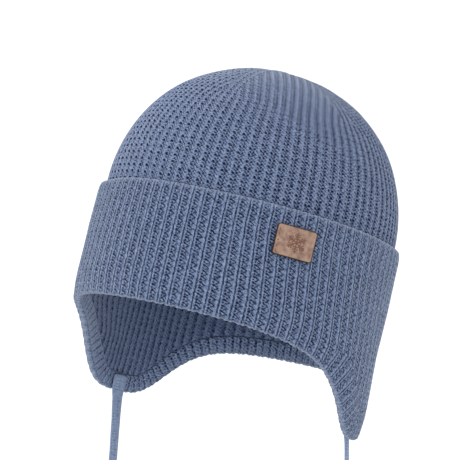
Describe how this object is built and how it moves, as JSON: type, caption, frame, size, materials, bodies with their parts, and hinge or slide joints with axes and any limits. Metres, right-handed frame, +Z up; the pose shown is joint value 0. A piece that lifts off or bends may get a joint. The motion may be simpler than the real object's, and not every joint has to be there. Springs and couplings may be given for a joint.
{
  "type": "ribbed knit hat with ear flaps and ties",
  "caption": "Child's knitted winter hat: ribbed domed crown, wide turned-up cuff that grows into ear flaps, flat knitted ties and a small leather patch.",
  "frame": {"origin": "the inside of the crown's top, where the top of the head carries the hat", "axes": "+Z up, -Y out of the front towards the way the wearer looks, +X to the wearer's left"},
  "size_m": [0.1697, 0.182, 0.3745],
  "materials": {
    "knit": "matt ribbed wool knit, steel blue",
    "inner_knit": "matt ribbed wool knit, steel blue",
    "tie_knit": "matt fine knit cord, steel blue",
    "leather": "matt vegetable-tanned leather with burnt edges, tan"
  },
  "bodies": {
    "root": {"crown": "inner_knit", "cuff": "knit", "patch": "leather", "tie_left": "tie_knit", "tie_right": "tie_knit"}
  },
  "joints": []
}
